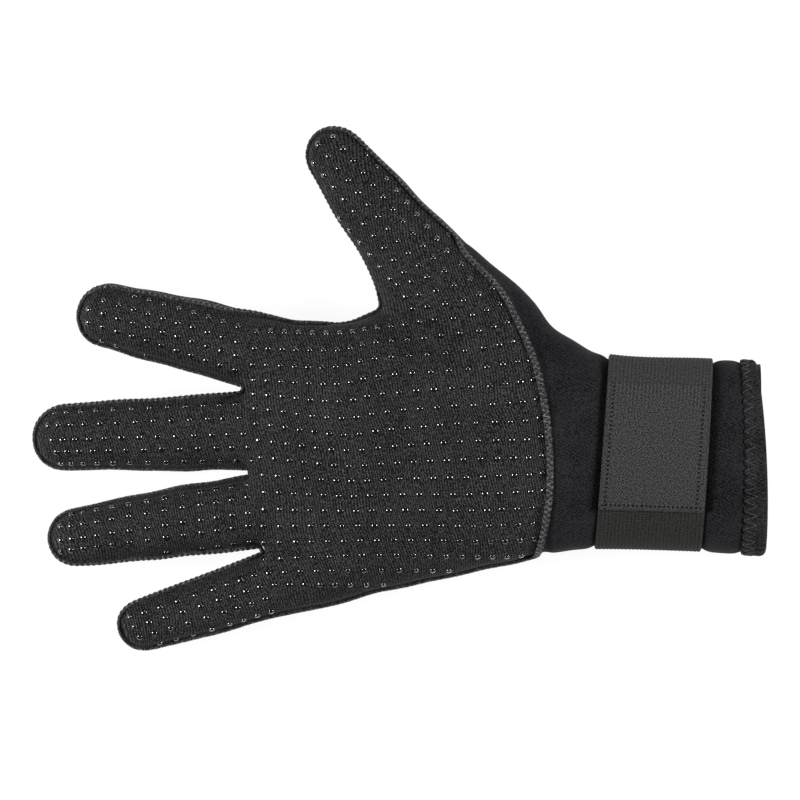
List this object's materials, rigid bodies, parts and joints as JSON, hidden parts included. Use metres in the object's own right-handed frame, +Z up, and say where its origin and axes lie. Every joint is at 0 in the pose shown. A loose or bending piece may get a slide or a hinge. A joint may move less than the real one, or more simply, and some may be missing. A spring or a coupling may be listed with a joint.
{
  "type": "diving glove",
  "caption": "Right-hand neoprene diving glove, palm up, with a dotted grip palm, a stitched edge seam and a wrist strap with a hook-and-loop tab.",
  "frame": {"origin": "on the surface the glove lies on, under the middle of its outer box", "axes": "+X from the fingertips to the cuff, +Y towards the thumb, +Z up out of the palm"},
  "size_m": [0.2646, 0.189, 0.0388],
  "materials": {
    "grip_fabric": "dark grey knit over neoprene with glossy grip dots",
    "neoprene": "black nylon jersey over neoprene, matt",
    "seam_thread": "grey overlock thread",
    "elastic": "ribbed dark grey elastic webbing",
    "tab_fabric": "fine dark grey woven tab with stitched edges",
    "hem_fabric": "black folded neoprene with overlock stitching"
  },
  "bodies": {
    "root": {"palm_panel": "grip_fabric", "back_panel": "neoprene", "palm_seam": "seam_thread", "wrist_strap": "elastic", "strap_tab": "tab_fabric", "cuff_hem": "hem_fabric"}
  },
  "joints": []
}
